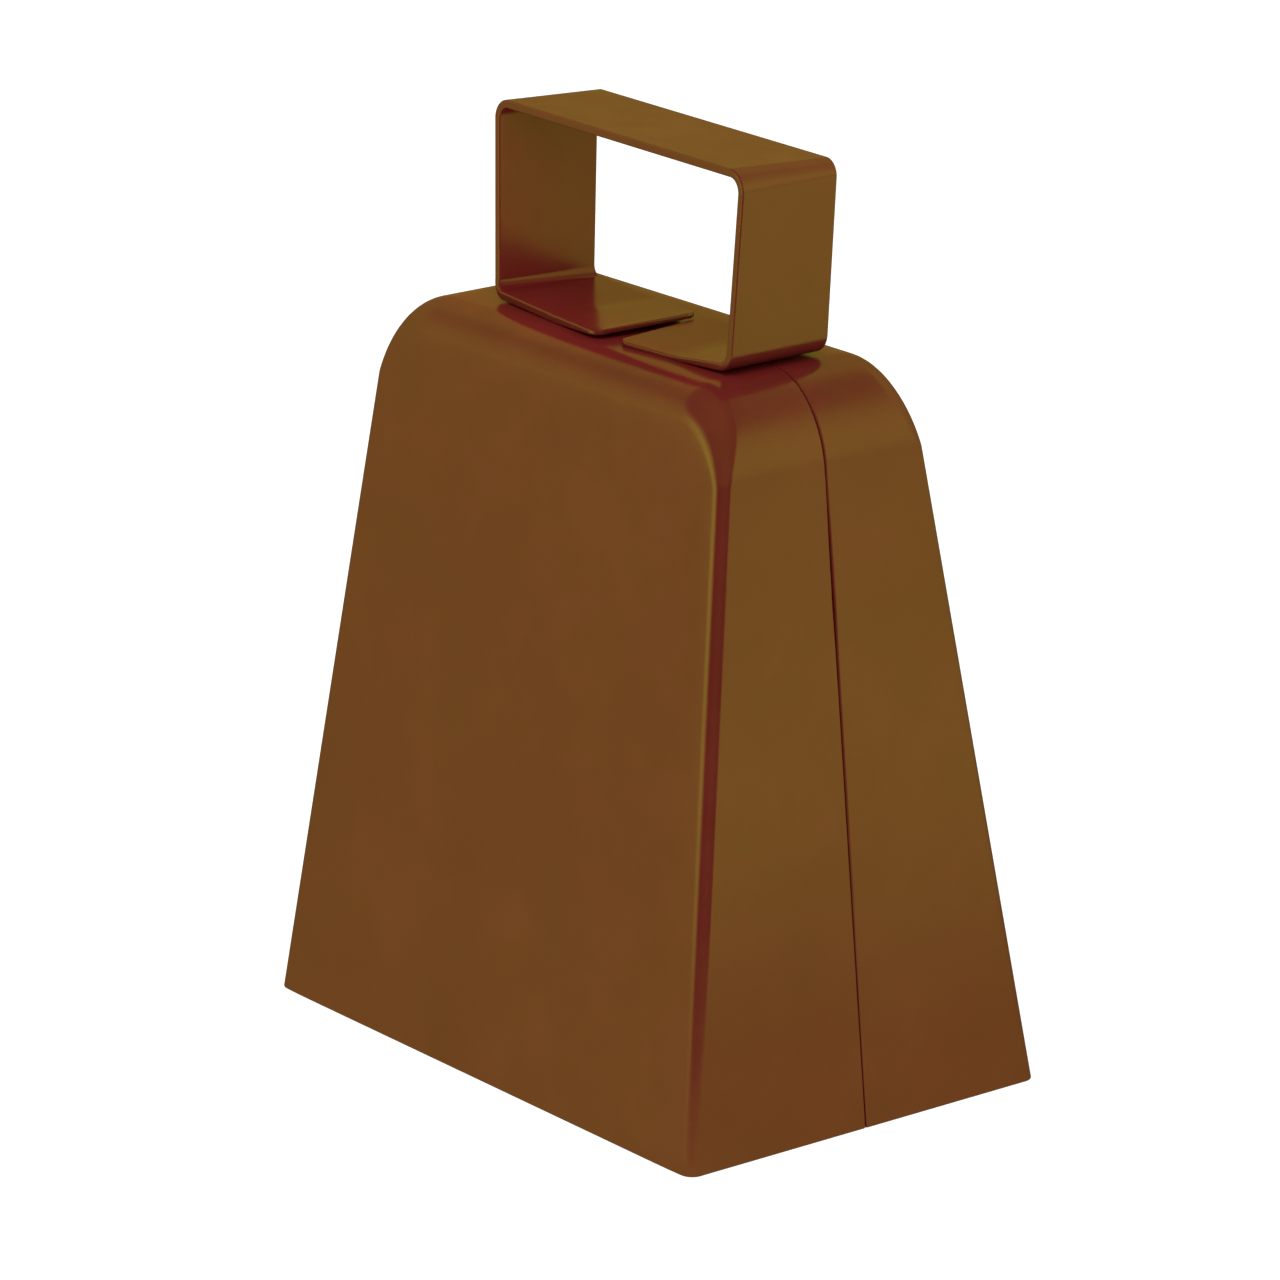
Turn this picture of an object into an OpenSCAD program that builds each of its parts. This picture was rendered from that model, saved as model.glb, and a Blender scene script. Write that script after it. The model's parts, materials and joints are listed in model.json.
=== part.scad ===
// Hand-held cowbell in two drawn sheet-steel halves, lap-joined down both narrow sides and over the
// top, with a bent strap handle and a wire clapper that hangs inside.
// Origin: centre of the mouth, in the plane of the rim. +Z is up, +X runs along the wide faces and
// +Y points at the back half. Millimetres.

/* [Body] */
// Height of the body, from the rim to the flat top
body_h = 76; // [70:0.5:84]
// Width across the mouth, from one narrow side to the other
mouth_w = 71.4; // [66:0.2:80]
// Width of the top, where the side lines meet the line of the top
top_w = 56.8; // [52:0.2:62]
// Depth across the mouth, from the front face to the back face
mouth_d = 45; // [40:0.5:54]
// Depth of the top, where the face lines meet the line of the top
top_d = 23.6; // [23:0.2:30]
// Thickness of the sheet
sheet_t = 0.8; // [0.6:0.05:1]

/* [Corners] */
// Length of the shoulder curve along the top
shoulder_run = 7.1; // [5:0.1:9]
// Length of the shoulder curve down the narrow side
shoulder_drop = 8.7; // [6:0.1:12]
// Radius of the upright edges between the faces and the narrow sides
side_edge_r = 1.25; // [1.1:0.05:2]
// Radius of the edge round the top
top_edge_r = 3.6; // [2.4:0.1:4]

/* [Seam] */
// How far the back half's flange tucks inside the front half
flange_w = 4; // [3:0.5:5]
// Width of the groove between the two halves
seam_gap = 0.2; // [0.1:0.05:0.4]
// Clearance between the flange and the front half
lap_gap = 0.05; // [0.03:0.01:0.1]
// Length over which the sheet steps inwards to become the flange
joggle_run = 1.1; // [0.8:0.1:2]

/* [Handle] */
// Height of the handle above the top of the body
handle_h = 20.75; // [17:0.25:30]
// Distance from the bell's middle to the outside of the left leg
handle_left = 17.6; // [15:0.1:19]
// Distance from the bell's middle to the outside of the right leg, at its foot
handle_right = 22.2; // [18:0.1:22.6]
// How far the right leg leans outwards over its height
handle_lean = 2; // [0:0.1:3]
// Width of the strap
strap_w = 12.2; // [9:0.1:14]
// Thickness of the strap
strap_t = 0.85; // [0.7:0.05:1.1]
// Thickness to which the weld pressed the strap's right flap
pressed_t = 0.55; // [0.5:0.05:0.85]
// Angle by which the strap is twisted at the top, which lifts its front edge
top_twist = 2.4; // [0:0.2:4]
// Radius of the strap's two upper bends, at its mid thickness
strap_bend_r = 1.5; // [1.2:0.1:3]
// Where the ends of the two flaps meet, measured from the bell's middle
flap_joint_x = 3.6; // [0:0.1:5]

/* [Clapper] */
// Diameter of the hanger's wire
hanger_wire_d = 1.6; // [1.2:0.1:2]
// Distance from the bell's middle to each leg of the hanger
hanger_reach = 6.2; // [5.6:0.1:6.8]
// Height of the hanger's bow above the rim
bow_z = 69.4; // [66:0.2:70]
// Diameter of the link's wire
link_wire_d = 1.2; // [1:0.1:1.4]
// Radius of the link ring, at the middle of its wire
link_r = 3; // [2.8:0.1:3.6]
// Diameter of the stem's wire
stem_wire_d = 1.6; // [1.2:0.1:1.8]
// Radius of the stem's eye, at the middle of its wire
eye_r = 2.2; // [2:0.1:2.6]
// Diameter of the clapper ball
ball_d = 13; // [11:0.5:13]
// Height of the ball's centre above the rim
ball_z = 15; // [12:0.5:18]

/* [Hidden] */
$fn = 48;

LACQUER = [0.45, 0.28, 0.14];
STEEL = [0.62, 0.6, 0.56];
WELD = [0.5, 0.46, 0.42];

side_tilt = atan((mouth_w - top_w) / 2 / body_h);
face_tilt = atan((mouth_d - top_d) / 2 / body_h);
// Steps round each shoulder curve, round each edge and round each bend of the strap
shoulder_steps = 14;
edge_steps = 6;
bend_steps = 7;
// Depth of the flange's two surfaces below the outside of the bell
flange_outer = sheet_t + lap_gap;
flange_inner = flange_outer + sheet_t;
flange_y = -flange_w;
// Slack where one wire hangs in another
pivot_gap = 0.1;
link_z = bow_z + (hanger_wire_d + link_wire_d) / 2 + pivot_gap - link_r;
// Height of the axis on which the stem's eye rocks: the lowest stretch of the link ring
eye_axis_z = link_z - link_r;
eye_z = eye_axis_z + (link_wire_d + stem_wire_d) / 2 + pivot_gap - eye_r;
hanger_foot_z = body_h - sheet_t - hanger_wire_d / 2;
hanger_foot_l = 7.5;
// Flats on the ball, where the stem's collar and riveted end bear on it
ball_flat = 0.3;
collar_r = 1.7;
collar_t = 0.7;
// Radial clearance of the stem in the ball
bore_gap = 0.02;
weld_d = 3.4;

// ---------------------------------------------------------------- outline of the body

// Half depth of the body at height z
function half_depth(z) = (mouth_d + (top_d - mouth_d) * z / body_h) / 2;

// Point on the right shoulder, from u = 0 on the narrow side to u = 90 on the top: [x, z, nx, nz],
// where nx and nz are the outward normal
function shoulder_point(u) =
    let (
        slope = [sin(side_tilt), -cos(side_tilt)],
        along_top = shoulder_run * (1 - cos(u)),
        down_side = shoulder_drop * (1 - sin(u)),
        x = top_w / 2 - along_top + down_side * slope[0],
        z = body_h + down_side * slope[1],
        normal = [
            shoulder_drop * cos(u) * cos(side_tilt),
            shoulder_run * sin(u) + shoulder_drop * cos(u) * sin(side_tilt)
        ],
        size = norm(normal)
    )
    [x, z, normal[0] / size, normal[1] / size];

right_outline = concat(
    [[mouth_w / 2, 0, cos(side_tilt), sin(side_tilt)]],
    [for (i = [0 : shoulder_steps]) shoulder_point(90 * i / shoulder_steps)]
);
// From the rim on the right, over the top, to the rim on the left
outline = concat(
    right_outline,
    [for (i = [len(right_outline) - 1 : -1 : 0])
        let (p = right_outline[i]) [-p[0], p[1], -p[2], p[3]]]
);

// Outline point p moved inwards by d. A point on the rim stays in the plane of the rim.
function inset_point(p, d) = p[1] == 0
    ? [p[0] - sign(p[0]) * d / cos(side_tilt), 0]
    : [p[0] - d * p[2], p[1] - d * p[3]];

// Point of the shell at outline point p, at depth d below the outside and at the given y
function wall_point(p, d, y) =
    let (q = inset_point(p, d))
    [q[0], y, q[1]];

// Point on the rounded edge between wall and face, from a = 0 at the wall to a = 90 at the face
function edge_point(p, d, a) =
    let (
        r = side_edge_r + (top_edge_r - side_edge_r) * p[3] - d,
        q = inset_point(p, d + r * (1 - cos(a))),
        face_y = half_depth(q[1]) - d / cos(face_tilt)
    )
    [q[0], face_y - r * (1 - sin(a)), q[1]];

function edge_row(p, d) = [for (i = [0 : edge_steps]) edge_point(p, d, 90 * i / edge_steps)];

// ---------------------------------------------------------------- shells

// Closed shell between two grids of points with a row for each outline point. The first column of
// the grids is the shell's free edge, and the last column bounds its flat face.
module half_shell(outer, inner) {
    rows = len(outer);
    cols = len(outer[0]);
    last_row = rows - 1;
    last_col = cols - 1;
    function at(layer, row, col) = (layer * rows + row) * cols + col;
    walls = [for (k = [0 : rows - 2], j = [0 : cols - 2]) each [
        [at(0, k, j), at(0, k + 1, j), at(0, k + 1, j + 1), at(0, k, j + 1)],
        [at(1, k, j), at(1, k, j + 1), at(1, k + 1, j + 1), at(1, k + 1, j)]
    ]];
    free_edge = [for (k = [0 : rows - 2])
        [at(0, k, 0), at(1, k, 0), at(1, k + 1, 0), at(0, k + 1, 0)]];
    rims = [for (j = [0 : cols - 2]) each [
        [at(0, 0, j), at(0, 0, j + 1), at(1, 0, j + 1), at(1, 0, j)],
        [at(0, last_row, j), at(1, last_row, j), at(1, last_row, j + 1), at(0, last_row, j + 1)]
    ]];
    face_rim = [
        [at(0, 0, last_col), at(0, last_row, last_col), at(1, last_row, last_col), at(1, 0, last_col)]
    ];
    outer_face = [[for (k = [0 : last_row]) at(0, k, last_col)]];
    inner_face = [[for (k = [last_row : -1 : 0]) at(1, k, last_col)]];
    polyhedron(
        points = [for (grid = [outer, inner], row = grid, p = row) p],
        faces = concat(walls, free_edge, rims, face_rim, outer_face, inner_face)
    );
}

// Front half: a plain drawn shell, with its free edge on the outside of the lap
module front_half_shell() {
    outer = [for (p = outline) concat([wall_point(p, 0, seam_gap / 2)], edge_row(p, 0))];
    inner = [for (p = outline) concat([wall_point(p, sheet_t, seam_gap / 2)], edge_row(p, sheet_t))];
    color(LACQUER) rotate([0, 0, 180]) half_shell(outer, inner);
}

// Back half: the same shell, with its edge stepped inwards into a flange that goes inside the lap
module back_half_shell() {
    outer = [for (p = outline) concat(
        [
            wall_point(p, flange_outer, flange_y),
            wall_point(p, flange_outer, seam_gap / 2),
            wall_point(p, 0, seam_gap / 2)
        ],
        edge_row(p, 0)
    )];
    inner = [for (p = outline) concat(
        [
            wall_point(p, flange_inner, flange_y),
            wall_point(p, flange_inner, seam_gap),
            wall_point(p, sheet_t, seam_gap + joggle_run)
        ],
        edge_row(p, sheet_t)
    )];
    color(LACQUER) half_shell(outer, inner);
}

// ---------------------------------------------------------------- handle

function unit(v) = v / norm(v);

// Points that round the corner b, between a and c, with radius r
function bend(a, b, c, r) =
    let (
        u = unit(a - b),
        v = unit(c - b),
        half = acos(max(-1, min(1, u * v))) / 2,
        centre = b + unit(u + v) * r / sin(half),
        reach = r / tan(half),
        from = b + u * reach - centre,
        to = b + v * reach - centre,
        turn = 180 - 2 * half
    )
    [for (i = [0 : bend_steps])
        let (k = i / bend_steps)
        centre + (from * sin((1 - k) * turn) + to * sin(k * turn)) / sin(turn)];

// Route of the strap's middle line as [[x, y, height above the top], bend radius]. Each flap touches
// the top where it is welded and lifts a little elsewhere, and the left flap's end stands proud.
strap_mid = strap_t / 2;
sunk = (strap_t - pressed_t) / 2;
flap_bend_r = 30;
foot_bend_r = 1.4;
lifted = 0.45;
strap_route = [
    [[flap_joint_x - 0.6, -1.9, lifted], 0],
    [[-5.5, -0.9, 0.02], flap_bend_r],
    [[strap_mid - handle_left, 0.3, 0.25], foot_bend_r],
    [[strap_mid - handle_left + 0.05, 0.8, handle_h - strap_t + 0.05], strap_bend_r],
    [[handle_right + handle_lean - strap_mid, -0.2, handle_h - strap_t - 0.05], strap_bend_r],
    [[handle_right - strap_mid, -0.2, lifted], foot_bend_r + 0.4],
    [[12.5, -0.4, 0.02 - sunk], flap_bend_r],
    [[flap_joint_x + 0.7, -1.1, 0.12 - sunk], 0]
];
strap_lift = [0, 0, body_h + strap_mid];
strap_path = [for (i = [0 : len(strap_route) - 1])
    each (strap_route[i][1] == 0
        ? [strap_route[i][0] + strap_lift]
        : bend(
            strap_route[i - 1][0] + strap_lift,
            strap_route[i][0] + strap_lift,
            strap_route[i + 1][0] + strap_lift,
            strap_route[i][1]
        ))
];

// Four corners of the strap's cross section at point i of its path
function strap_section(i) =
    let (
        last = len(strap_path) - 1,
        before = strap_path[max(i - 1, 0)],
        after = strap_path[min(i + 1, last)],
        here = strap_path[i],
        along = unit(unit(after - here + [1e-9, 0, 0]) + unit(here - before + [1e-9, 0, 0])),
        run = i == 0 ? unit(after - here) : i == last ? unit(here - before) : along,
        height = here[2] - body_h,
        pressed = height < 2 ? max(0, min(1, (20 - here[0]) / 3)) * (here[0] > 0 ? 1 : 0) : 0,
        twist = -top_twist * max(0, min(1, height / handle_h)),
        across = unit([run[2], 0, -run[0]]),
        flat = unit(cross(run, across)),
        thick = (across * cos(twist) + cross(run, across) * sin(twist)) * (strap_mid - pressed * sunk),
        wide = (flat * cos(twist) + cross(run, flat) * sin(twist)) * strap_w / 2
    )
    [here + thick - wide, here + thick + wide, here - thick + wide, here - thick - wide];

// One strap bent into a rectangle, whose two ends meet on top of the bell
module handle_strap() {
    sections = [for (i = [0 : len(strap_path) - 1]) strap_section(i)];
    last = len(sections) - 1;
    sides = [for (i = [0 : last - 1], j = [0 : 3])
        [i * 4 + j, (i + 1) * 4 + j, (i + 1) * 4 + (j + 1) % 4, i * 4 + (j + 1) % 4]];
    ends = [[0, 1, 2, 3], [for (j = [3 : -1 : 0]) last * 4 + j]];
    color(LACQUER) polyhedron(points = [for (s = sections, p = s) p], faces = concat(sides, ends));
}

// ---------------------------------------------------------------- clapper and its hanger

// Round wire with ball-shaped bends through the given points
module wire(points, d) {
    for (i = [0 : len(points) - 2]) {
        run = points[i + 1] - points[i];
        length = norm(run);
        tilt = acos(run[2] / length);
        turn = atan2(run[1], run[0]);
        translate(points[i]) rotate([0, tilt, turn]) cylinder(d = d, h = length);
    }
    for (i = [1 : len(points) - 2]) translate(points[i]) sphere(d = d);
}

module torus(ring_r, wire_d) {
    rotate_extrude() translate([ring_r, 0]) circle(d = wire_d);
}

// Wire staple welded under the top: two feet, two legs, and a bow along Y that the link hangs from
module clapper_hanger() {
    color(STEEL) wire([
        [-hanger_foot_l, -hanger_reach, hanger_foot_z],
        [0, -hanger_reach, hanger_foot_z],
        [0, -hanger_reach, bow_z],
        [0, hanger_reach, bow_z],
        [0, hanger_reach, hanger_foot_z],
        [hanger_foot_l, hanger_reach, hanger_foot_z]
    ], hanger_wire_d);
}

// Closed ring that lets the clapper swing both ways
module clapper_link() {
    color(STEEL) translate([0, 0, link_z]) rotate([90, 0, 0]) torus(link_r, link_wire_d);
}

// Stiff wire with a closed eye at the top, a collar on the ball and a riveted end below it
module clapper_stem() {
    collar_z = ball_z + ball_d / 2 - ball_flat;
    rivet_z = ball_z - ball_d / 2 + ball_flat;
    color(STEEL) union() {
        translate([0, 0, eye_z]) rotate([0, 90, 0]) torus(eye_r, stem_wire_d);
        translate([0, 0, rivet_z - collar_t / 2]) cylinder(d = stem_wire_d, h = eye_z - eye_r - rivet_z);
        translate([0, 0, collar_z]) cylinder(r = collar_r, h = collar_t);
        translate([0, 0, rivet_z - collar_t]) cylinder(r1 = stem_wire_d / 2, r2 = collar_r, h = collar_t);
    }
}

// Steel ball, drilled through for the stem
module clapper_ball() {
    flat_h = ball_d - 2 * ball_flat;
    color(STEEL) translate([0, 0, ball_z]) difference() {
        intersection() {
            sphere(d = ball_d);
            cylinder(d = ball_d + 1, h = flat_h, center = true);
        }
        cylinder(r = stem_wire_d / 2 + bore_gap, h = ball_d + 1, center = true);
    }
}

// ---------------------------------------------------------------- spot welds

// Weld nuggets hidden inside the lap: three down each narrow side and two across the top
module seam_welds() {
    weld_y = -flange_w / 2;
    depth = sheet_t + lap_gap / 2;
    nugget_t = sheet_t;
    color(WELD) {
        for (side = [-1, 1], z = [11, 36, 60]) {
            x = mouth_w / 2 - (mouth_w - top_w) / 2 * z / body_h;
            translate([side * (x - depth), weld_y, z]) rotate([0, side * (90 - side_tilt), 0])
                cylinder(d = weld_d * 0.8, h = nugget_t, center = true);
        }
        for (x = [-12, 17]) translate([x, weld_y, body_h - depth])
            cylinder(d = weld_d * 0.8, h = nugget_t, center = true);
    }
}

// Weld nuggets that join each flap of the handle to the top
module handle_welds() {
    color(WELD) for (x = [-5.5, 12.5]) translate([x, -0.6, body_h - sheet_t / 2])
        cylinder(d = weld_d, h = (sheet_t + strap_t) / 2);
}

// Weld beads that join the hanger's feet to the inside of the top
module hanger_welds() {
    color(WELD) for (side = [-1, 1]) {
        translate([side * hanger_foot_l * 0.6, side * hanger_reach, body_h - sheet_t * 1.5])
            cylinder(d = hanger_wire_d * 0.8, h = sheet_t);
    }
}

front_half_shell();
back_half_shell();
handle_strap();
clapper_hanger();
clapper_link();
clapper_stem();
clapper_ball();
seam_welds();
handle_welds();
hanger_welds();
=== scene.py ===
"""Looks of the cowbell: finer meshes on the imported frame, brown-copper lacquer, steel clapper, studio."""
import json
import math
from collections import namedtuple

import bmesh
import bpy
from mathutils import Matrix, Vector


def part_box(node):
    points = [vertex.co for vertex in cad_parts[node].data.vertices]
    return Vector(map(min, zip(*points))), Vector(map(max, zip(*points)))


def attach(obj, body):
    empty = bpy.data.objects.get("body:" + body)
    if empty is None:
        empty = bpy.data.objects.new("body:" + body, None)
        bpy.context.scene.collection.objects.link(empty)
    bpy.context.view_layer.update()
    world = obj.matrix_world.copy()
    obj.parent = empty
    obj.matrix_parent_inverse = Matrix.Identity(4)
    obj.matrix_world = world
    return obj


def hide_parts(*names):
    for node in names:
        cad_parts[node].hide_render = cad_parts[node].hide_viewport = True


MM = 0.001

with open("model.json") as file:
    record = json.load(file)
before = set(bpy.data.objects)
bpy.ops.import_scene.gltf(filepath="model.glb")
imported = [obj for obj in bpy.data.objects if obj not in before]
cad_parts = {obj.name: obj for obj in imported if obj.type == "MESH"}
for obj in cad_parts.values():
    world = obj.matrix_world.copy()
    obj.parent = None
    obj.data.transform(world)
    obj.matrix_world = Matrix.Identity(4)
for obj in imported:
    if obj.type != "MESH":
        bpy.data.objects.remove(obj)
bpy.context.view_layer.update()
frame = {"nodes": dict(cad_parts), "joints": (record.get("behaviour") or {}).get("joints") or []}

# ---------------------------------------------------------------- sizes

shell_low, shell_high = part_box("front_half_shell")
BODY_H = shell_high.z
MOUTH_W = shell_high.x - shell_low.x
MOUTH_D = -2 * shell_low.y
TOP_W = 56.8 * MM
TOP_D = 23.6 * MM
SHEET_T = 0.8 * MM
SHOULDER_RUN = 7.1 * MM
SHOULDER_DROP = 8.7 * MM
SIDE_EDGE_R = 1.25 * MM
TOP_EDGE_R = 3.6 * MM
SEAM_GAP = 0.2 * MM
LAP_GAP = 0.05 * MM
FLANGE_W = 4 * MM
JOGGLE_RUN = 1.1 * MM
# Rounding of every sheared sheet edge
BURR_R = 0.2 * MM

HANDLE_H = 20.75 * MM
HANDLE_LEFT = 17.6 * MM
HANDLE_RIGHT = 22.2 * MM
HANDLE_LEAN = 2 * MM
STRAP_W = 12.2 * MM
STRAP_T = 0.85 * MM
# The weld pressed the right flap thinner, and the strap is twisted a little towards its top
PRESSED_T = 0.55 * MM
TOP_TWIST = math.radians(2.8)
PRESSED_TILT = math.radians(-1.2)
FLAP_JOINT_X = 3.6 * MM

HANGER_WIRE_R = 0.8 * MM
HANGER_REACH = 6.2 * MM
LINK_WIRE_R = 0.6 * MM
LINK_R = 3 * MM
STEM_WIRE_R = 0.8 * MM
EYE_R = 2.2 * MM
BALL_R = 6.5 * MM
BALL_FLAT = 0.3 * MM

SIDE_TILT = math.atan((MOUTH_W - TOP_W) / 2 / BODY_H)
FACE_TILT = math.atan((MOUTH_D - TOP_D) / 2 / BODY_H)

joint_at = {j["name"]: Vector(j["pos_m"]) for j in frame["joints"]}
BOW_Z = joint_at["link_swing"].z
EYE_AXIS_Z = joint_at["clapper_rock"].z
LINK_Z = EYE_AXIS_Z + LINK_R
EYE_Z = EYE_AXIS_Z + LINK_WIRE_R + STEM_WIRE_R + 0.1 * MM - EYE_R
ball_low, ball_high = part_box("clapper_ball")
BALL_Z = (ball_low.z + ball_high.z) / 2


# ---------------------------------------------------------------- mesh helpers

# Corners nearer than this are one corner
MERGE = 1e-7


def make_object(name, bm, material, body, node):
    """Turns a bmesh into a smooth piece that rides on a body and stands for a CAD node."""
    bmesh.ops.remove_doubles(bm, verts=bm.verts, dist=MERGE)
    bmesh.ops.recalc_face_normals(bm, faces=bm.faces)
    mesh = bpy.data.meshes.new(name)
    bm.to_mesh(mesh)
    bm.free()
    for polygon in mesh.polygons:
        polygon.use_smooth = True
    mesh.materials.append(material)
    piece = bpy.data.objects.new(name, mesh)
    bpy.context.scene.collection.objects.link(piece)
    weigh = piece.modifiers.new("Even normals", "WEIGHTED_NORMAL")
    weigh.weight = 100
    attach(piece, body)
    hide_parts(node)
    return piece


def add_grid(bm, points, closed=False):
    """Adds a sheet of quads through a grid of points, closed across its columns if asked."""
    rows = [[bm.verts.new(p) for p in row] for row in points]
    width = len(rows[0])
    for low, high in zip(rows, rows[1:]):
        for j in range(width if closed else width - 1):
            k = (j + 1) % width
            bm.faces.new((low[j], low[k], high[k], high[j]))
    return rows


def fill_holes(bm):
    """Closes every open loop of the mesh with one flat face."""
    bmesh.ops.remove_doubles(bm, verts=bm.verts, dist=MERGE)
    bmesh.ops.holes_fill(bm, edges=[e for e in bm.edges if e.is_boundary], sides=0)


def arc_angles(start, end, steps):
    return [math.radians(start + (end - start) * i / steps) for i in range(steps + 1)]


def bend(a, b, c, radius, steps):
    """Points that round the corner b, between a and c."""
    u = (a - b).normalized()
    v = (c - b).normalized()
    half = math.acos(max(-1, min(1, u.dot(v)))) / 2
    centre = b + (u + v).normalized() * radius / math.sin(half)
    reach = radius / math.tan(half)
    start = b + u * reach - centre
    end = b + v * reach - centre
    turn = math.pi - 2 * half
    return [
        centre + (start * math.sin((1 - k) * turn) + end * math.sin(k * turn)) / math.sin(turn)
        for k in (i / steps for i in range(steps + 1))
    ]


def rounded_route(corners, steps=12):
    """Route through [(point, bend radius), ...] with each corner rounded."""
    route = []
    for i, (point, radius) in enumerate(corners):
        if radius == 0:
            route.append(point)
        else:
            route += bend(corners[i - 1][0], point, corners[i + 1][0], radius, steps)
    return route


def run_directions(route):
    """Direction of a route at each of its points."""
    last = len(route) - 1
    return [(route[min(i + 1, last)] - route[max(i - 1, 0)]).normalized() for i in range(last + 1)]


def sweep_wire(bm, route, radius, sides=24, end_round=0.25):
    """Round wire along a route, with slightly rounded cut ends."""
    last = len(route) - 1
    runs = run_directions(route)
    side = runs[0].orthogonal().normalized()
    lip = radius * end_round
    lip_turns = arc_angles(0, 90, 4)

    def ring(i, inward, size):
        centre = route[i] + runs[i] * inward
        other = runs[i].cross(side)
        turns = (2 * math.pi * k / sides for k in range(sides))
        return [centre + (side * math.cos(t) + other * math.sin(t)) * size for t in turns]

    rings = [ring(0, lip * (1 - math.cos(t)), radius - lip * (1 - math.sin(t))) for t in lip_turns]
    for i in range(1, last + 1):
        side = (side - runs[i] * side.dot(runs[i])).normalized()
        if i < last:
            rings.append(ring(i, 0, radius))
    rings += [
        ring(last, -lip * (1 - math.cos(t)), radius - lip * (1 - math.sin(t)))
        for t in reversed(lip_turns)
    ]
    rows = add_grid(bm, rings, closed=True)
    bm.faces.new(rows[0])
    bm.faces.new(rows[-1])


def lathe(bm, profile, centre, sides=64):
    """Surface of revolution about Z from [(radius, height), ...], closed where the radius is 0."""
    rings = []
    for k in range(sides):
        t = 2 * math.pi * k / sides
        rings.append([centre + Vector((r * math.cos(t), r * math.sin(t), z)) for r, z in profile])
    rings.append(rings[0])
    add_grid(bm, rings)


# ---------------------------------------------------------------- body shells

def half_depth(z):
    return (MOUTH_D + (TOP_D - MOUTH_D) * z / BODY_H) / 2


def side_x(z):
    return (MOUTH_W + (TOP_W - MOUTH_W) * z / BODY_H) / 2


# Place round the outline of a narrow side and the top: outer point, outward normal, extra inset for
# the rounded rim, and whether it lies on the straight side
Station = namedtuple("Station", "x z nx nz rim straight")


def shoulder_station(u):
    """Point on the right shoulder and its outward normal, from the narrow side to the top."""
    along_top = SHOULDER_RUN * (1 - math.cos(u))
    down_side = SHOULDER_DROP * (1 - math.sin(u))
    x = TOP_W / 2 - along_top + down_side * math.sin(SIDE_TILT)
    z = BODY_H - down_side * math.cos(SIDE_TILT)
    nx = SHOULDER_DROP * math.cos(u) * math.cos(SIDE_TILT)
    nz = SHOULDER_RUN * math.sin(u) + SHOULDER_DROP * math.cos(u) * math.sin(SIDE_TILT)
    size = math.hypot(nx, nz)
    return Station(x, z, nx / size, nz / size, 0.0, False)


SIDE_STEPS = 56
SHOULDER_STEPS = 30
TOP_STEPS = 24
EDGE_STEPS = 12
BURR_STEPS = 4
WALL_STEPS = 5
# Distances in mm of the columns beside a face's edge
EDGE_COLUMNS = (0, 0.3, 0.7, 1.2, 1.9, 2.8, 4, 5.6, 8)


def side_station(z, rim):
    return Station(side_x(z), z, math.cos(SIDE_TILT), math.sin(SIDE_TILT), rim, True)


def right_stations():
    """Stations up the right side, from the rim to the end of the shoulder."""
    stations = []
    for t in arc_angles(0, 90, BURR_STEPS):
        stations.append(side_station(BURR_R * (1 - math.cos(t)), BURR_R * (1 - math.sin(t))))
    top_of_side = BODY_H - SHOULDER_DROP
    for i in range(1, SIDE_STEPS):
        stations.append(side_station(BURR_R + (top_of_side - BURR_R) * i / SIDE_STEPS, 0.0))
    for u in arc_angles(0, 90, SHOULDER_STEPS):
        stations.append(shoulder_station(u))
    return stations


def across(edge_x):
    """Columns over a face from edge_x to -edge_x, closest together near its edges."""
    near = [edge_x - d * MM for d in EDGE_COLUMNS]
    far = [near[-1] * (1 - 2 * i / TOP_STEPS) for i in range(1, TOP_STEPS)]
    return near + far + [-x for x in reversed(near)]


RIGHT = right_stations()
TOP_X = RIGHT[-1].x
FLAT_TOP = [Station(x, BODY_H, 0.0, 1.0, 0.0, False) for x in across(TOP_X)[1:-1]]
LEFT = [s._replace(x=-s.x, nx=-s.nx) for s in reversed(RIGHT)]
STATIONS = RIGHT + FLAT_TOP + LEFT

# A face falls away by CROWN at its outline, most of it within CROWN_REACH
FACE_TOP_Z = BODY_H - TOP_EDGE_R
FACE_CORNER_R = 6.5 * MM
CROWN, CROWN_REACH = 0.1 * MM, 1.6 * MM


def crown(x, z):
    """How far a face falls away at this place, from how near it is to the face's outline."""
    past_side = max(0, abs(x) - (side_x(z) - SIDE_EDGE_R - FACE_CORNER_R))
    past_top = max(0, z - (FACE_TOP_Z - FACE_CORNER_R))
    inside = FACE_CORNER_R - math.hypot(past_side, past_top)
    return CROWN * math.exp(-max(0, inside) / CROWN_REACH)


# Half width of the groove between the halves, in mm, and how it opens and closes: each bump is
# (height as a share of the body's, its reach as a share, change)
GROOVE = 0.055
GROOVE_OPEN = (0.71, 0.075, 0.075)
GROOVE_PINCHED = (0.86, 0.03, -0.045)
GROOVE_RAGGED = 0.016
GROOVE_LIMITS = (0.01, 0.13)


def half_gap(z):
    """Half the width of the groove between the halves, which opens and closes with height."""
    height = z / BODY_H

    def bump(centre, reach):
        return math.exp(-(((height - centre) / reach) ** 2))

    opening = bump(*GROOVE_OPEN[:2])
    ragged = math.sin(height * 170) * math.sin(height * 97 + 1) + 0.5 * math.sin(height * 411 + 2)
    width = GROOVE + GROOVE_OPEN[2] * opening + GROOVE_PINCHED[2] * bump(*GROOVE_PINCHED[:2])
    width += GROOVE_RAGGED * ragged * (0.4 + opening)
    return max(GROOVE_LIMITS[0], min(GROOVE_LIMITS[1], width)) * MM


def inset_point(station, depth):
    x, z = station.x, station.z
    if station.straight:
        return x - math.copysign(depth / math.cos(SIDE_TILT), x), z
    return x - depth * station.nx, z - depth * station.nz


def wall_point(station, depth, y):
    x, z = inset_point(station, depth)
    return Vector((x, y, z))


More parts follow.
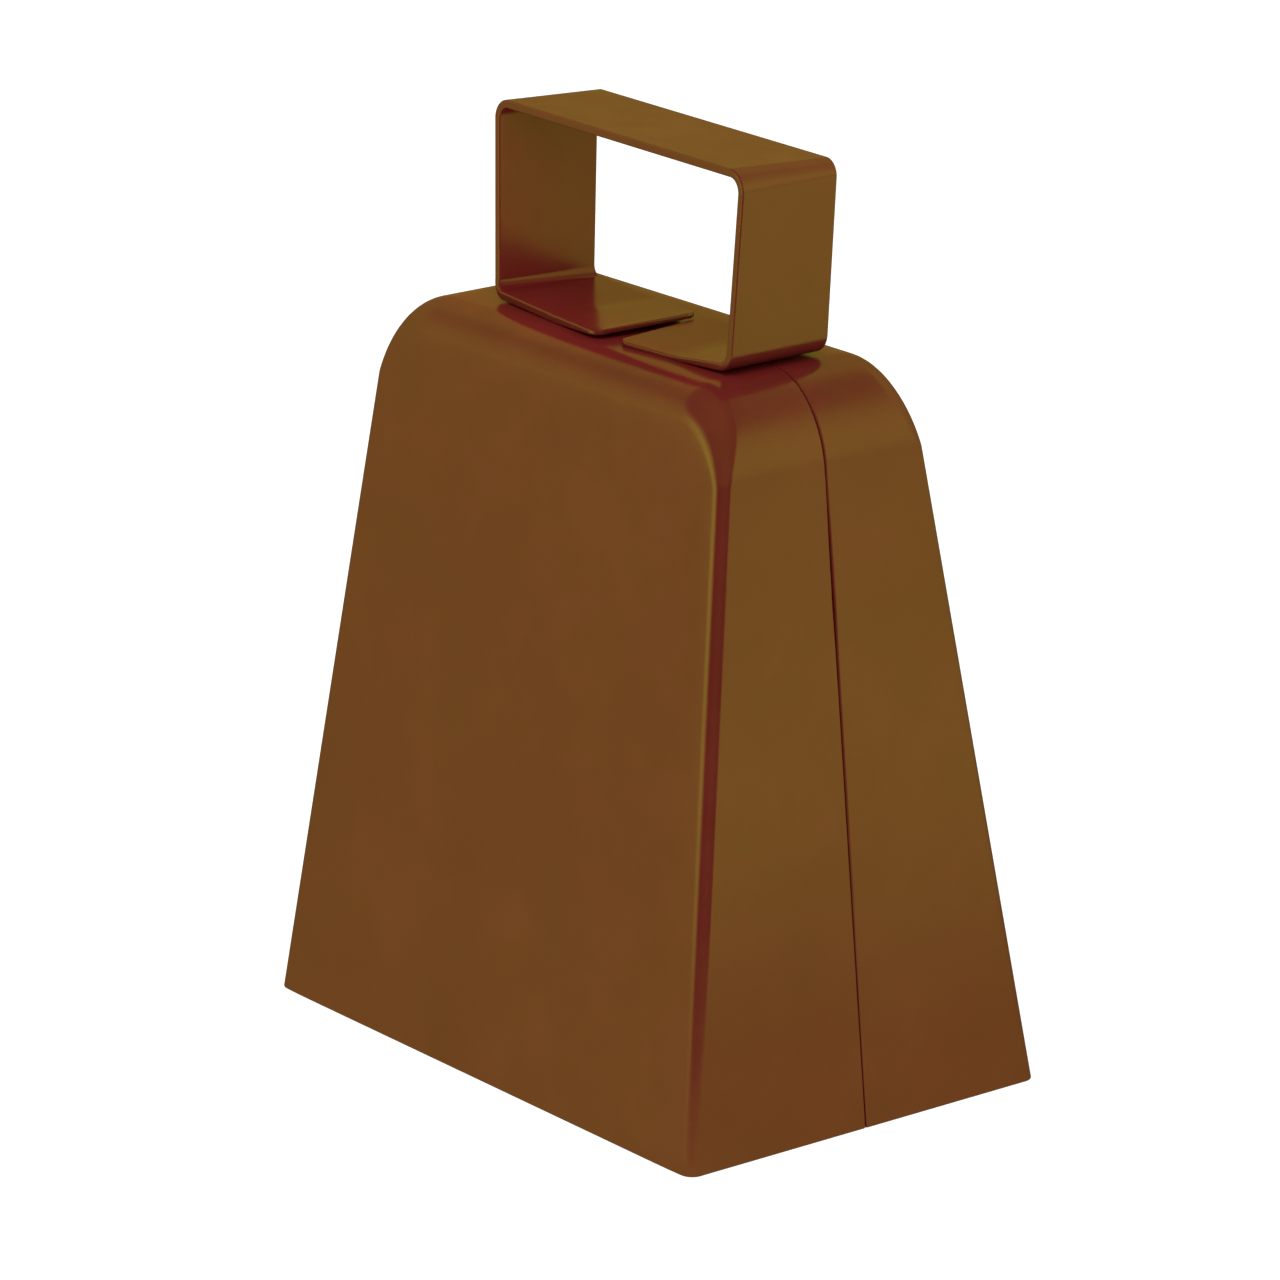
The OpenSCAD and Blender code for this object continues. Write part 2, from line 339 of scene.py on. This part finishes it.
def edge_radius(station, depth):
    """Radius of the edge towards the face, growing from the side to the top."""
    rise = station.nz * (1.25 - 0.25 * station.nz)
    return SIDE_EDGE_R + (TOP_EDGE_R - SIDE_EDGE_R) * rise - depth


def edge_point(station, depth, a):
    """Point on the rounded edge, from a = 0 at the wall to a = 90 degrees at the face."""
    r = edge_radius(station, depth)
    x, z = inset_point(station, depth + r * (1 - math.cos(a)))
    face_y = half_depth(z) - depth / math.cos(FACE_TILT)
    drop = crown(*inset_point(station, depth + r)) * math.sin(a) ** 2
    return Vector((x, face_y - r * (1 - math.sin(a)) - drop, z))


def skin(station, depth, seam_y):
    """Points from the face's edge, round the long edge and along the wall, to the given y."""
    points = [edge_point(station, depth, a) for a in arc_angles(90, 0, EDGE_STEPS)]
    start_y = points[-1].y
    for i in range(1, WALL_STEPS + 1):
        y = start_y + (seam_y - start_y) * i / WALL_STEPS
        points.append(wall_point(station, depth, y))
    return points


def round_over(station, corner_depth, corner_y, depth_sign, y_sign, start, end):
    """Points round a burr: depth_sign and y_sign give the side on which its centre lies."""
    centre_depth = corner_depth + depth_sign * BURR_R
    centre_y = corner_y + y_sign * BURR_R
    return [
        wall_point(
            station,
            centre_depth - depth_sign * BURR_R * math.cos(a),
            centre_y - y_sign * BURR_R * math.sin(a),
        )
        for a in arc_angles(start, end, BURR_STEPS)
    ]


def front_section(station):
    """Section of the front half, from outside face to inside face round its free edge."""
    outer, inner = station.rim, SHEET_T - station.rim
    edge_y = half_gap(station.z)
    points = skin(station, outer, edge_y + BURR_R)
    if outer + BURR_R < inner - BURR_R:
        points += round_over(station, outer, edge_y, 1, 1, 0, 90)[1:]
        points += round_over(station, inner, edge_y, -1, 1, 90, 0)
    else:
        middle = (outer + inner) / 2
        points += [wall_point(station, middle, edge_y)] * (2 * BURR_STEPS + 1)
    points += reversed(skin(station, inner, edge_y + BURR_R)[:-1])
    return points


def back_section(station):
    """Section of the back half, whose wall steps inwards to the flange."""
    rim = station.rim
    edge_y = half_gap(station.z)
    flange_out = SHEET_T + LAP_GAP + rim
    flange_in = 2 * SHEET_T + LAP_GAP - rim
    end_y = -FLANGE_W
    points = skin(station, rim, edge_y + BURR_R)
    points += round_over(station, rim, edge_y, 1, 1, 0, 90)[1:]
    points.append(wall_point(station, flange_out - BURR_R / 2, edge_y))
    points.append(wall_point(station, flange_out, edge_y - BURR_R / 2))
    points += [
        wall_point(station, flange_out, edge_y + (end_y + BURR_R - edge_y) * i / 3) for i in (1, 2, 3)
    ]
    points += round_over(station, flange_out, end_y, 1, 1, 0, 90)[1:]
    points += round_over(station, flange_in, end_y, -1, 1, 90, 0)
    points.append(wall_point(station, flange_in, SEAM_GAP))
    points += [
        wall_point(
            station,
            flange_in + (SHEET_T - rim - flange_in) * (1 - math.cos(math.pi * k / 6)) / 2,
            SEAM_GAP + JOGGLE_RUN * k / 6,
        )
        for k in range(1, 6)
    ]
    points += reversed(skin(station, SHEET_T - rim, SEAM_GAP + JOGGLE_RUN))
    return points


def face_rungs(depth_of):
    """Grid over the crowned face, between the right and left ends of each pair of stations."""
    rungs = []
    for station in RIGHT:
        right = edge_point(station, depth_of(station), math.pi / 2)
        flat_y = right.y + crown(right.x, right.z)
        rungs.append([
            Vector((x, flat_y - crown(x, right.z), right.z)) for x in across(right.x)
        ])
    return rungs


def build_shell(name, section, flip, node, material):
    bm = bmesh.new()
    sections = [section(s) for s in STATIONS]
    add_grid(bm, sections)
    add_grid(bm, face_rungs(lambda station: station.rim))
    add_grid(bm, face_rungs(lambda station: SHEET_T - station.rim))
    fill_holes(bm)
    if flip:
        bmesh.ops.rotate(bm, verts=bm.verts, cent=(0, 0, 0), matrix=Matrix.Rotation(math.pi, 3, "Z"))
    return make_object(name, bm, material, "bell", node)


# ---------------------------------------------------------------- handle

def strap_route():
    """Middle line of the strap, from the left flap's end round the handle to the right flap's."""
    mid = STRAP_T / 2
    sunk = (STRAP_T - PRESSED_T) / 2
    proud = 0.45 * MM
    top = HANDLE_H - STRAP_T
    slope = 0.05 * MM

    def at(x, y, lift):
        return Vector((x, y * MM, BODY_H + mid + lift))

    return rounded_route([
        (at(FLAP_JOINT_X - 0.6 * MM, -1.9, proud), 0),
        (at(-5.5 * MM, -0.9, 0.02 * MM), 30 * MM),
        (at(mid - HANDLE_LEFT, 0.3, 0.25 * MM), 1.4 * MM),
        (at(mid - HANDLE_LEFT + slope, 0.8, top + slope), 1.5 * MM),
        (at(HANDLE_RIGHT + HANDLE_LEAN - mid, -0.2, top - slope), 1.5 * MM),
        (at(HANDLE_RIGHT - mid, -0.2, proud), 1.8 * MM),
        (at(12.5 * MM, -0.4, 0.02 * MM - sunk), 30 * MM),
        (at(FLAP_JOINT_X + 0.7 * MM, -1.1, 0.12 * MM - sunk), 0),
    ], steps=18)


# Flap ends: rounding of the sheared edges, rounding of the corners, and distances in mm from an end
# at which the strap is trimmed to make both
BURR_SHARP = 0.18 * MM
FLAP_CORNER_R = 1.4 * MM
END_STEPS = (0, 0.02, 0.06, 0.12, 0.2, 0.35, 0.55, 0.85, 1.15, 1.4)
# The right flap is pressed thin below this height, within PRESSED_FADE of PRESSED_X
FLAP_HEIGHT = 2 * MM
PRESSED_X, PRESSED_FADE = 20 * MM, 3 * MM


def strap_ring(centre, run, trim_w, trim_t):
    """Rounded rectangle across the strap, trimmed by the given amounts at each edge."""
    height = centre.z - BODY_H
    on_flap = height < FLAP_HEIGHT and centre.x > 0
    pressed = max(0, min(1, (PRESSED_X - centre.x) / PRESSED_FADE)) if on_flap else 0
    turn = PRESSED_TILT * pressed - TOP_TWIST * max(0, min(1, height / HANDLE_H))
    twist = Matrix.Rotation(turn, 3, run)
    thick = Vector((run.z, 0, -run.x)).normalized()
    wide = twist @ run.cross(thick).normalized()
    thick = twist @ thick
    half_w = STRAP_W / 2 - trim_w
    half_t = (STRAP_T + (PRESSED_T - STRAP_T) * pressed) / 2 - trim_t
    r = min(BURR_SHARP, half_t)
    ring = []
    for sx, sy, start in ((1, 1, 0), (-1, 1, 90), (-1, -1, 180), (1, -1, 270)):
        corner = centre + wide * sx * (half_w - r) + thick * sy * (half_t - r)
        for a in arc_angles(start, start + 90, 5):
            ring.append(corner + wide * math.cos(a) * r + thick * math.sin(a) * r)
    return ring


def build_handle(material):
    bm = bmesh.new()
    route = strap_route()
    last = len(route) - 1
    runs = run_directions(route)

    def trims(distance):
        w = FLAP_CORNER_R - math.sqrt(FLAP_CORNER_R**2 - max(0, FLAP_CORNER_R - distance) ** 2)
        t = BURR_SHARP - math.sqrt(BURR_SHARP**2 - max(0, BURR_SHARP - distance) ** 2)
        return w, t

    rings = []
    for d in END_STEPS:
        rings.append(strap_ring(route[0] + runs[0] * d * MM, runs[0], *trims(d * MM)))
    for i in range(1, last):
        rings.append(strap_ring(route[i], runs[i], 0, 0))
    for d in reversed(END_STEPS):
        rings.append(strap_ring(route[last] - runs[last] * d * MM, runs[last], *trims(d * MM)))
    add_grid(bm, rings, closed=True)
    fill_holes(bm)
    return make_object("handle_strap_fine", bm, material, "bell", "handle_strap")


# ---------------------------------------------------------------- clapper

def build_hanger(material):
    _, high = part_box("clapper_hanger")
    foot_z = high.z - HANGER_WIRE_R
    foot_l = high.x
    tight = 1.3 * MM
    route = rounded_route([
        (Vector((-foot_l, -HANGER_REACH, foot_z)), 0),
        (Vector((0, -HANGER_REACH, foot_z)), tight),
        (Vector((0, -HANGER_REACH, BOW_Z)), tight),
        (Vector((0, HANGER_REACH, BOW_Z)), tight),
        (Vector((0, HANGER_REACH, foot_z)), tight),
        (Vector((foot_l, HANGER_REACH, foot_z)), 0),
    ])
    bm = bmesh.new()
    sweep_wire(bm, route, HANGER_WIRE_R)
    return make_object("clapper_hanger_fine", bm, material, "bell", "clapper_hanger")


def ring_route(centre, radius, across, up, start, end, steps=72):
    return [
        centre + (across * math.cos(a) + up * math.sin(a)) * radius
        for a in arc_angles(start, end, steps)
    ]


def build_link(material):
    bm = bmesh.new()
    centre = Vector((0, 0, LINK_Z))
    gap = 1.5
    route = ring_route(centre, LINK_R, Vector((1, 0, 0)), Vector((0, 0, 1)), 30 + gap, 390 - gap)
    sweep_wire(bm, route, LINK_WIRE_R, end_round=0.3)
    return make_object("clapper_link_fine", bm, material, "link", "clapper_link")


def build_stem(material):
    centre = Vector((0, 0, EYE_Z))
    across, up = Vector((0, 1, 0)), Vector((0, 0, 1))
    loop = ring_route(centre, EYE_R, across, up, -62, 238)
    neck_r = 1.1 * MM
    neck = bend(
        Vector((0, 0, BALL_Z)), Vector((0, 0, EYE_Z - EYE_R * 1.02)), loop[0], neck_r, 8
    )
    foot = Vector((0, 0, ball_low.z - 0.2 * MM))
    route = [foot, Vector((0, 0, BALL_Z))] + neck + loop
    bm = bmesh.new()
    sweep_wire(bm, route, STEM_WIRE_R)
    collar = [
        (0, 0), (1.5, 0), (1.65, 0.06), (1.7, 0.2),
        (1.7, 0.5), (1.62, 0.64), (1.45, 0.7), (0, 0.7),
    ]
    rivet = [
        (0, 0), (1.62, 0), (1.68, -0.1), (1.6, -0.3),
        (1.35, -0.5), (0.95, -0.64), (0.5, -0.7), (0, -0.7),
    ]
    for profile, z in ((collar, ball_high.z), (rivet, ball_low.z)):
        lathe(bm, [(r * MM, h * MM) for r, h in profile], Vector((0, 0, z)), 40)
    return make_object("clapper_stem_fine", bm, material, "clapper", "clapper_stem")


def build_ball(material):
    bore = STEM_WIRE_R + 0.02 * MM
    flat_z = BALL_R - BALL_FLAT
    start = math.asin(flat_z / BALL_R)
    lip = 0.1 * MM
    steps = 40
    arc = [start - 0.03 - (2 * start - 0.06) * i / steps for i in range(steps + 1)]
    profile = [(bore, 0), (bore, flat_z - lip), (bore + lip, flat_z)]
    profile += [(BALL_R * math.cos(start) - lip, flat_z)]
    profile += [(BALL_R * math.cos(a), BALL_R * math.sin(a)) for a in arc]
    profile += [(BALL_R * math.cos(start) - lip, -flat_z)]
    profile += [(bore + lip, -flat_z), (bore, -flat_z + lip), (bore, 0)]
    bm = bmesh.new()
    lathe(bm, profile, Vector((0, 0, BALL_Z)), 72)
    return make_object("clapper_ball_fine", bm, material, "clapper", "clapper_ball")


def build_hanger_welds(material):
    """Flattened beads where the hanger's feet meet the inside of the top."""
    _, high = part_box("hanger_welds")
    inner_top = BODY_H - SHEET_T
    bead_r = 0.64 * MM
    bm = bmesh.new()
    for side in (-1, 1):
        centre = Vector((side * (high.x - bead_r), side * HANGER_REACH, inner_top))
        profile = [(0, 0.3), (0.5, 0.3), (0.62, 0.15), (0.64, 0), (0.6, -0.12), (0.5, -0.2), (0, -0.3)]
        lathe(bm, [(r * MM, h * MM) for r, h in profile], centre, 32)
    return make_object("hanger_welds_fine", bm, material, "bell", "hanger_welds")


# ---------------------------------------------------------------- materials

class Nodes:
    """Small helper round one node tree."""

    def __init__(self, tree):
        self.nodes = tree.nodes
        self.links = tree.links

    def add(self, kind, **settings):
        """Makes a node and sets its properties, or its sockets by name, from the settings."""
        node = self.nodes.new(kind)
        for key, value in settings.items():
            if hasattr(node, key):
                setattr(node, key, value)
            else:
                node.inputs[key.replace("_", " ")].default_value = value
        return node

    def link(self, source, target):
        self.links.new(source, target)

    def vector(self, operation, first, second=None):
        """Vector arithmetic on sockets or plain vectors."""
        node = self.add("ShaderNodeVectorMath", operation=operation)
        for value, socket in zip((first, second), node.inputs):
            if isinstance(value, bpy.types.NodeSocket):
                self.link(value, socket)
            elif value is not None:
                socket.default_value = value
        return node.outputs["Value" if operation in ("DOT_PRODUCT", "LENGTH") else "Vector"]

    def combine(self, operation, first, second):
        """Arithmetic on two sockets."""
        node = self.add("ShaderNodeMath", operation=operation)
        self.link(first, node.inputs[0])
        self.link(second, node.inputs[1])
        return node.outputs["Value"]

    def fade(self, value, start, end, at_start, at_end):
        """Soft step between two values as a socket goes from start to end."""
        node = self.add("ShaderNodeMapRange", interpolation_type="SMOOTHSTEP")
        numbers = (start, end, at_start, at_end)
        for socket, number in zip(("From Min", "From Max", "To Min", "To Max"), numbers):
            node.inputs[socket].default_value = number
        self.link(value, node.inputs["Value"])
        return node.outputs["Result"]

    def mix(self, factor, first, second):
        """Blends two shaders by a socket or a plain number."""
        node = self.add("ShaderNodeMixShader")
        if isinstance(factor, bpy.types.NodeSocket):
            self.link(factor, node.inputs["Fac"])
        else:
            node.inputs["Fac"].default_value = factor
        self.link(first, node.inputs[1])
        self.link(second, node.inputs[2])
        return node.outputs["Shader"]


class Shader(Nodes):
    """One material with its node tree."""

    def __init__(self, name):
        self.material = bpy.data.materials.new(name)
        self.material.use_nodes = True
        super().__init__(self.material.node_tree)
        self.principled = self.nodes["Principled BSDF"]
        self.surface = self.nodes["Material Output"].inputs["Surface"]

    def position(self):
        return self.add("ShaderNodeTexCoord").outputs["Object"]

    def noise(self, scale, detail=3.0, roughness=0.5):
        node = self.add("ShaderNodeTexNoise", Scale=scale, Detail=detail, Roughness=roughness)
        self.link(self.position(), node.inputs["Vector"])
        return node.outputs["Fac"]

    def ramp(self, source, *stops):
        """Colour ramp through [(position, colour or grey), ...]."""
        node = self.add("ShaderNodeValToRGB")
        elements = node.color_ramp.elements
        while len(elements) < len(stops):
            elements.new(0.5)
        for element, (position, value) in zip(elements, stops):
            element.position = position
            element.color = (*value, 1) if isinstance(value, tuple) else (value, value, value, 1)
        self.link(source, node.inputs["Fac"])
        return node.outputs["Color"]

    def bump(self, height, strength, distance):
        node = self.add("ShaderNodeBump", Strength=strength, Distance=distance)
        self.link(height, node.inputs["Height"])
        return node.outputs["Normal"]


HANDLE_CENTRE = (2.3 * MM, 0, BODY_H + HANDLE_H / 2)
# Pigment and gloss in the open, then a brighter red painted as light on faces that look into the handle
# and a darker gloss painted as shade on the left leg and upper left wall: each pair is the range that the
# noise moves over
PIGMENT = (0.198, 0.0195, 0.0168), (0.224, 0.0229, 0.0198)
PIGMENT_PAINTED_LIGHT = (0.25, 0.0215, 0.019), (0.28, 0.025, 0.022)
GLOSS = (0.088, 0.093, 0.0082), (0.096, 0.102, 0.0096)
GLOSS_PAINTED_SHADE = (0.058, 0.06, 0.0054), (0.066, 0.07, 0.0066)
# The product of this with a place is large on the handle's left leg and the bell's upper left wall
LEG_SIDE = (-12, 0, 8)


def make_lacquer():
    """Deep red pigment and brown-gold metallic gloss, both uneven: painted light inside the handle, painted
    shade on the left leg.
    """
    shader = Shader("copper_lacquer")
    base = shader.principled
    base.inputs["Specular IOR Level"].default_value = 0.0
    base.inputs["Roughness"].default_value = 0.6
    outward = shader.add("ShaderNodeNewGeometry").outputs["Normal"]
    place = shader.position()

    # Painted light: the red is brighter on faces that look at the middle of the handle, standing in for
    # light falling there
    inward = shader.vector("NORMALIZE", shader.vector("SUBTRACT", HANDLE_CENTRE, place))
    painted_light_inside = shader.ramp(shader.vector("DOT_PRODUCT", inward, outward), (0.1, 0.0), (0.5, 0.5))
    grain = shader.ramp(shader.noise(90, 4, 0.6), (0.35, 0.0), (0.65, 0.5))
    pigment = shader.ramp(
        shader.combine("ADD", painted_light_inside, grain),
        (0.0, PIGMENT[0]), (0.5, PIGMENT[1]), (0.52, PIGMENT_PAINTED_LIGHT[0]), (1.0, PIGMENT_PAINTED_LIGHT[1]),
    )
    shader.link(pigment, base.inputs["Base Color"])

    # Painted shade: the gloss is darker on faces that look right on the left leg and the upper left wall,
    # dimming their reflection
    to_right = shader.vector("DOT_PRODUCT", outward, (1, 0, 0))
    on_left = shader.ramp(shader.vector("DOT_PRODUCT", place, LEG_SIDE), (0.78, 0.0), (0.8, 1.0))
    leg = shader.ramp(shader.combine("MULTIPLY", to_right, on_left), (0.6, 0.0), (0.9, 0.5))
    cloud = shader.ramp(shader.noise(55, 3, 0.5), (0.3, 0.0), (0.7, 0.5))
    tint = shader.ramp(
        shader.combine("ADD", leg, cloud),
        (0.0, GLOSS[0]), (0.5, GLOSS[1]), (0.52, GLOSS_PAINTED_SHADE[0]), (1.0, GLOSS_PAINTED_SHADE[1]),
    )
    gloss = shader.add("ShaderNodeBsdfGlossy", distribution="GGX")
    shader.link(tint, gloss.inputs["Color"])
    sheen = shader.ramp(shader.noise(300, 3, 0.6), (0.3, 0.17), (0.7, 0.23))
    shader.link(sheen, gloss.inputs["Roughness"])

    # Fine orange peel over both
    normal = shader.bump(shader.noise(700, 2, 0.5), 0.25, 0.00004)
    shader.link(normal, base.inputs["Normal"])
    shader.link(normal, gloss.inputs["Normal"])
    shader.link(shader.mix(0.5, base.outputs["BSDF"], gloss.outputs["BSDF"]), shader.surface)
    return shader.material


def make_steel(name, dark, light, rough_low, rough_high, grain):
    """Bare metal with uneven brightness and fine marks."""
    shader = Shader(name)
    base = shader.principled
    base.inputs["Metallic"].default_value = 1.0
    colour = shader.ramp(shader.noise(grain, 5, 0.6), (0.3, dark), (0.7, light))
    roughness = shader.ramp(shader.noise(grain * 2, 4, 0.6), (0.3, rough_low), (0.7, rough_high))
    shader.link(colour, base.inputs["Base Color"])
    shader.link(roughness, base.inputs["Roughness"])
    shader.link(shader.bump(shader.noise(grain * 3, 4, 0.6), 0.3, 0.00003), base.inputs["Normal"])
    return shader.material


def make_matte(name, grey, glow=0.0, one_sided=False):
    """Plain matte grey that may glow, and may be clear from behind."""
    shader = Shader(name)
    base = shader.principled
    base.inputs["Base Color"].default_value = (grey, grey, grey, 1)
    base.inputs["Emission Color"].default_value = (1, 1, 1, 1)
    base.inputs["Emission Strength"].default_value = glow
    base.inputs["Roughness"].default_value = 1.0
    base.inputs["Specular IOR Level"].default_value = 0.0
    if one_sided:
        behind = shader.add("ShaderNodeNewGeometry").outputs["Backfacing"]
        clear = shader.add("ShaderNodeBsdfTransparent").outputs["BSDF"]
        shader.link(shader.mix(behind, base.outputs["BSDF"], clear), shader.surface)
    return shader.material


lacquer = make_lacquer()
steel = make_steel("bare_wire", (0.46, 0.44, 0.41), (0.6, 0.58, 0.55), 0.22, 0.38, 900)
ball_steel = make_steel("bare_ball", (0.5, 0.48, 0.45), (0.64, 0.62, 0.59), 0.25, 0.42, 700)
weld_metal = make_steel("weld_metal", (0.3, 0.28, 0.26), (0.5, 0.47, 0.44), 0.35, 0.55, 1500)

# ---------------------------------------------------------------- pieces

front_shell = build_shell("front_half_shell_fine", front_section, True, "front_half_shell", lacquer)
back_shell = build_shell("back_half_shell_fine", back_section, False, "back_half_shell", lacquer)
handle = build_handle(lacquer)
hanger = build_hanger(steel)
link = build_link(steel)
stem = build_stem(steel)
ball = build_ball(ball_steel)
beads = build_hanger_welds(weld_metal)
for node in ("seam_welds", "handle_welds"):
    frame["nodes"][node].data.materials.clear()
    frame["nodes"][node].data.materials.append(weld_metal)

# ---------------------------------------------------------------- camera

CAMERA_AZIMUTH = math.radians(52.86)
CAMERA_ELEVATION = math.radians(17.19)
CAMERA_ROLL = math.radians(-0.52)
CAMERA_DISTANCE = 704.7 * MM
CAMERA_LENS = 193.4
AIM_RIGHT = -0.7 * MM
AIM_UP = 4.42 * MM


def make_camera():
    az, el = CAMERA_AZIMUTH, CAMERA_ELEVATION
    back = Vector((math.sin(az) * math.cos(el), -math.cos(az) * math.cos(el), math.sin(el)))
    right = Vector((math.cos(az), math.sin(az), 0))
    up = back.cross(right)
    aim = Vector((0, 0, BODY_H / 2)) + right * AIM_RIGHT + up * AIM_UP
    rolled_right = right * math.cos(CAMERA_ROLL) + up * math.sin(CAMERA_ROLL)
    rolled_up = up * math.cos(CAMERA_ROLL) - right * math.sin(CAMERA_ROLL)
    data = bpy.data.cameras.new("Camera")
    data.lens = CAMERA_LENS
    data.sensor_width = 36
    camera = bpy.data.objects.new("Camera", data)
    basis = Matrix((rolled_right, rolled_up, back)).transposed().to_4x4()
    camera.matrix_world = Matrix.Translation(aim + back * CAMERA_DISTANCE) @ basis
    bpy.context.scene.collection.objects.link(camera)
    bpy.context.scene.camera = camera


make_camera()

# ---------------------------------------------------------------- floor and light

def facing(azimuth, elevation):
    """Direction towards the given azimuth (0 is the front, 90 the right) and elevation."""
    az, el = math.radians(azimuth), math.radians(elevation)
    return Vector((math.sin(az) * math.cos(el), -math.cos(az) * math.cos(el), math.sin(el)))


def make_stage(name, bm, material, camera, glossy, shadow):
    """Adds a piece of the studio that only some kinds of ray see. No diffuse ray sees it."""
    mesh = bpy.data.meshes.new(name)
    bm.to_mesh(mesh)
    bm.free()
    mesh.materials.append(material)
    piece = bpy.data.objects.new(name, mesh)
    bpy.context.scene.collection.objects.link(piece)
    piece.visible_camera = camera
    piece.visible_diffuse = False
    piece.visible_glossy = glossy
    piece.visible_shadow = shadow
    return piece


# Half the side of either floor, in metres
FLOOR_SIZE = 4


def make_floor(name, material, in_reflections):
    """Level floor that either shows everywhere but in reflections, or only there."""
    bm = bmesh.new()
    bmesh.ops.create_grid(bm, x_segments=1, y_segments=1, size=FLOOR_SIZE)
    make_stage(name, bm, material, not in_reflections, in_reflections, not in_reflections)


# Glow of the reflected floor at distances in metres towards the back right; its dip beside the bell is a
# painted shadow of the bell
BACK_RIGHT = 127
FLOOR_GLOW = [(0.0, 0.97), (0.03, 0.78), (0.08, 0.78), (0.2, 1.33), (0.45, 1.33), (0.65, 1.1)]
# Painted pool of light on it, seen from the foot of the near upright edge: azimuth, radius, strength,
# and the distances between which it comes in
EDGE_FOOT = (0.033, -0.02, 0)
FLOOR_PATCH = (-27, 18, 1.2)
FLOOR_PATCH_FROM = (0.15, 0.4)


def patch_limits(radius):
    """Cosines between which a soft patch of this angular radius comes in."""
    return math.cos(math.radians(radius)), math.cos(math.radians(radius * 0.25))


def make_reflected_floor():
    """Glow of the floor as the gloss sees it: a painted shadow beside the bell, brighter far behind it."""
    shader = Shader("reflected_floor")
    place = shader.position()
    # The glow dips beside the bell as a painted shadow of the bell
    glow = shader.ramp(shader.vector("DOT_PRODUCT", place, facing(BACK_RIGHT, 0)), *FLOOR_GLOW)

    # Painted pool of light, added to the glow
    azimuth, radius, strength = FLOOR_PATCH
    from_edge = shader.vector("SUBTRACT", place, EDGE_FOOT)
    along = shader.vector("DOT_PRODUCT", shader.vector("NORMALIZE", from_edge), facing(azimuth, 0))
    patch = shader.combine(
        "MULTIPLY",
        shader.fade(along, *patch_limits(radius), 0.0, strength),
        shader.fade(shader.vector("LENGTH", from_edge), *FLOOR_PATCH_FROM, 0.0, 1.0),
    )
    emission = shader.add("ShaderNodeEmission")
    shader.link(shader.combine("ADD", glow, patch), emission.inputs["Strength"])
    shader.link(emission.outputs["Emission"], shader.surface)
    return shader.material


FLAG_RADIUS = 0.17
FLAG_HEIGHT = 0.1
FLAG_FROM, FLAG_TO, FLAG_STEPS = 10, 98, 12


def make_flag():
    """Low black card that curves round the camera's side and shows only in reflections."""
    turn = (FLAG_TO - FLAG_FROM) / FLAG_STEPS
    feet = [facing(FLAG_FROM + turn * i, 0) * FLAG_RADIUS for i in range(FLAG_STEPS + 1)]
    bm = bmesh.new()
    add_grid(bm, [feet, [foot + Vector((0, 0, FLAG_HEIGHT)) for foot in feet]])
    flag = make_stage("Flag", bm, make_matte("flag", 0.02), False, True, False)
    flag.visible_transmission = False


def make_softbox(name, azimuth, elevation, distance, size, power):
    """Round area light towards the bell that doesn't show in reflections."""
    data = bpy.data.lights.new(name, "AREA")
    data.shape = "DISK"
    data.size = size
    data.energy = power
    light = bpy.data.objects.new(name, data)
    towards = facing(azimuth, elevation)
    light.location = towards * distance + Vector((0, 0, BODY_H / 2))
    light.rotation_euler = towards.to_track_quat("Z", "Y").to_euler()
    light.visible_camera = False
    light.visible_glossy = False
    bpy.context.scene.collection.objects.link(light)


# Strength of the surround in reflections, and of the even white that all other rays see
SURROUND = 1.1
EVEN_WHITE = 0.8
# Dim cap of the surround: its middle, the cosines at its edge, and its strength
SHADE = (30, 60)
SHADE_EDGE = (0.37, 0.47)
SHADED = 0.2
# Soft patches of the surround: azimuth, elevation, angular radius where it fades out, strength
PATCHES = [
    (-27, 3, 24, 1.6),
    (-127, -2, 22, 0.98),
    (127, 4, 34, 0.35),
]


def make_world():
    """Pale surround whose reflection is dim overhead and on the camera's side, with bright patches."""
    world = bpy.data.worlds.new("Studio")
    bpy.context.scene.world = world
    world.use_nodes = True
    studio = Nodes(world.node_tree)
    direction = studio.add("ShaderNodeTexCoord").outputs["Generated"]

    def along(azimuth, elevation):
        return studio.vector("DOT_PRODUCT", direction, facing(azimuth, elevation))

    total = studio.fade(along(*SHADE), *SHADE_EDGE, SURROUND, SHADED)
    for azimuth, elevation, radius, strength in PATCHES:
        patch = studio.fade(along(azimuth, elevation), *patch_limits(radius), 0.0, strength)
        total = studio.combine("ADD", total, patch)

    reflected = studio.nodes["Background"]
    reflected.inputs["Color"].default_value = (1, 1, 1, 1)
    studio.link(total, reflected.inputs["Strength"])
    even = studio.add("ShaderNodeBackground", Strength=1.0)
    even.inputs["Color"].default_value = (EVEN_WHITE, EVEN_WHITE, EVEN_WHITE, 1)
    in_gloss = studio.add("ShaderNodeLightPath").outputs["Is Glossy Ray"]
    surface = studio.mix(in_gloss, even.outputs["Background"], reflected.outputs["Background"])
    studio.link(surface, studio.nodes["World Output"].inputs["Surface"])


make_floor("Floor", make_matte("floor", 0.3, 0.9, one_sided=True), False)
make_floor("Reflected floor", make_reflected_floor(), True)
make_flag()
make_softbox("Overhead", 30, 62, 1.3, 1.6, 8)
make_softbox("Fill", 58, 12, 0.9, 0.8, 2)
make_world()
bpy.context.scene.view_settings.view_transform = "Standard"
